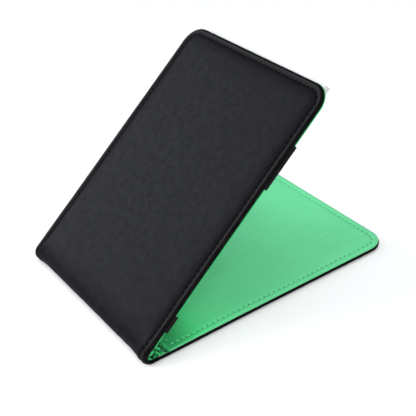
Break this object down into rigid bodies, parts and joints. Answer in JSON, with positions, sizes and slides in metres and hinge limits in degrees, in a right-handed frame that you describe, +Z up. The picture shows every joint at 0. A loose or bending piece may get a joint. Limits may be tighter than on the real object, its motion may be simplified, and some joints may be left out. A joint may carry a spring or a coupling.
{
  "type": "pocket notebook",
  "caption": "Half-open flip notebook cover: black padded outside, green lining, sewn pocket on the back panel, bound pad strapped under the raised front panel.",
  "frame": {"origin": "on the flat underside of the back cover, midway along its length and width, where it rests on a table", "axes": "+X across the cover, along the fold; +Y along the back cover, away from the fold; +Z up, into the notebook"},
  "size_m": [0.0916, 0.1221, 0.0832],
  "materials": {
    "outer_skin": "matte black imitation leather with a fine grain",
    "padding": "thin foam sheet",
    "board": "grey board",
    "lining": "satin green imitation leather with faint brushed streaks",
    "edge_thread": "black sewing thread",
    "lining_thread": "green sewing thread",
    "elastic": "black woven elastic",
    "backing_card": "white card",
    "paper": "uncoated white paper",
    "binding_tape": "black binding tape",
    "staple": "bright steel wire"
  },
  "bodies": {
    "back_cover": {"back_outer_skin": "outer_skin", "back_padding": "padding", "back_board": "board", "back_lining": "lining", "back_edge_thread": "edge_thread", "pocket_panel": "lining", "pocket_hem_thread": "lining_thread", "pocket_edge_thread": "lining_thread"},
    "spine_back": {"spine_skin_back": "outer_skin", "spine_lining_back": "lining"},
    "spine_middle": {"spine_skin_middle": "outer_skin", "spine_lining_middle": "lining"},
    "spine_front": {"spine_skin_front": "outer_skin", "spine_lining_front": "lining"},
    "front_cover": {"front_outer_skin": "outer_skin", "front_padding": "padding", "front_board": "board", "front_lining": "lining", "front_edge_thread": "edge_thread", "front_lining_thread": "lining_thread", "strap_narrow": "elastic", "strap_wide": "elastic", "backing_card": "backing_card", "sheet_block": "paper", "binding_tape": "binding_tape", "staple_left": "staple", "staple_right": "staple"},
    "leaf_1": {"leaf_1": "paper"},
    "leaf_2": {"leaf_2": "paper"},
    "leaf_3": {"leaf_3": "paper"},
    "leaf_4": {"leaf_4": "paper"},
    "leaf_5": {"leaf_5": "paper"},
    "leaf_6": {"leaf_6": "paper"}
  },
  "joints": [
    {"name": "cover_hinge_back", "type": "hinge", "parent": "back_cover", "child": "spine_back", "pos_m": [0, -0.0566, 0.0003], "axis": [1, 0, 0], "range_deg": [-18.75, 0]},
    {"name": "spine_crease_back", "type": "hinge", "parent": "spine_back", "child": "spine_middle", "pos_m": [0, -0.06165, 0.0003], "axis": [1, 0, 0], "range_deg": [0, 69.75]},
    {"name": "spine_crease_front", "type": "hinge", "parent": "spine_middle", "child": "spine_front", "pos_m": [0, -0.06348, 0.00527], "axis": [1, 0, 0], "range_deg": [0, 69.75]},
    {"name": "cover_hinge_front", "type": "hinge", "parent": "spine_front", "child": "front_cover", "pos_m": [0, -0.05964, 0.00855], "axis": [1, 0, 0], "range_deg": [-18.75, 0]},
    {"name": "leaf_1_turn", "type": "hinge", "parent": "front_cover", "child": "leaf_1", "pos_m": [0, -0.05119, 0.00774], "axis": [-1, 0, 0], "range_deg": [0, 28]},
    {"name": "leaf_2_turn", "type": "hinge", "parent": "leaf_1", "child": "leaf_2", "pos_m": [0, -0.05119, 0.00774], "axis": [-1, 0, 0], "range_deg": [0, 28]},
    {"name": "leaf_3_turn", "type": "hinge", "parent": "leaf_2", "child": "leaf_3", "pos_m": [0, -0.05119, 0.00774], "axis": [-1, 0, 0], "range_deg": [0, 28]},
    {"name": "leaf_4_turn", "type": "hinge", "parent": "leaf_3", "child": "leaf_4", "pos_m": [0, -0.05119, 0.00774], "axis": [-1, 0, 0], "range_deg": [0, 28]},
    {"name": "leaf_5_turn", "type": "hinge", "parent": "leaf_4", "child": "leaf_5", "pos_m": [0, -0.05119, 0.00774], "axis": [-1, 0, 0], "range_deg": [0, 28]},
    {"name": "leaf_6_turn", "type": "hinge", "parent": "leaf_5", "child": "leaf_6", "pos_m": [0, -0.05119, 0.00774], "axis": [-1, 0, 0], "range_deg": [0, 28]}
  ]
}
